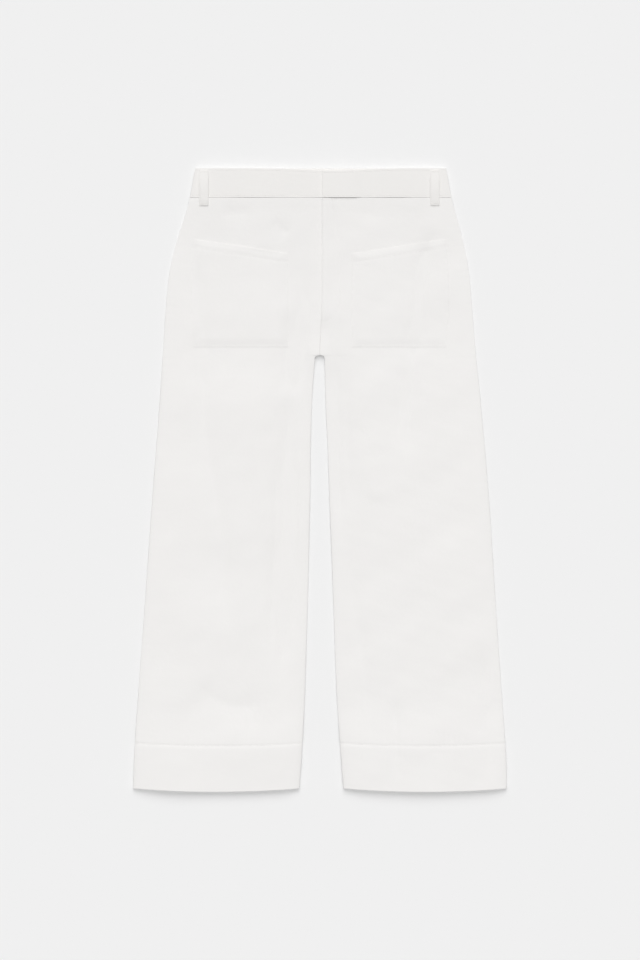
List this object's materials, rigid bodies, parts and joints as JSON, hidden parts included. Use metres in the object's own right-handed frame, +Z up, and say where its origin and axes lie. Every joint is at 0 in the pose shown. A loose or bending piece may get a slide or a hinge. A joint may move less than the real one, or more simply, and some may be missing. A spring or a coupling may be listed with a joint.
{
  "type": "culottes",
  "caption": "Ankle-length wide-leg culottes laid flat, front up, with a fly front, slanted patch pockets, a shaped waistband with belt loops and deep turned-up hems.",
  "frame": {"origin": "centre of the bounding box on the underside, on the surface that the culottes lie on", "axes": "+X towards the wearer's left side, +Y along the length towards the waist, +Z up out of the surface, through the back and then the front"},
  "size_m": [0.56, 0.9344, 0.0121],
  "materials": {
    "twill": "matte off-white cotton twill",
    "waist_twill": "matte off-white cotton twill, doubled"
  },
  "bodies": {
    "root": {"front_right_leg": "twill", "front_left_leg": "twill", "back_right_leg": "twill", "back_left_leg": "twill", "fly_underlap": "twill", "pocket_right": "twill", "pocket_left": "twill", "waistband_front_right": "waist_twill", "waistband_front_left": "waist_twill", "waistband_back": "waist_twill", "belt_loop_right": "waist_twill", "belt_loop_left": "waist_twill", "belt_loop_back": "waist_twill"}
  },
  "joints": []
}
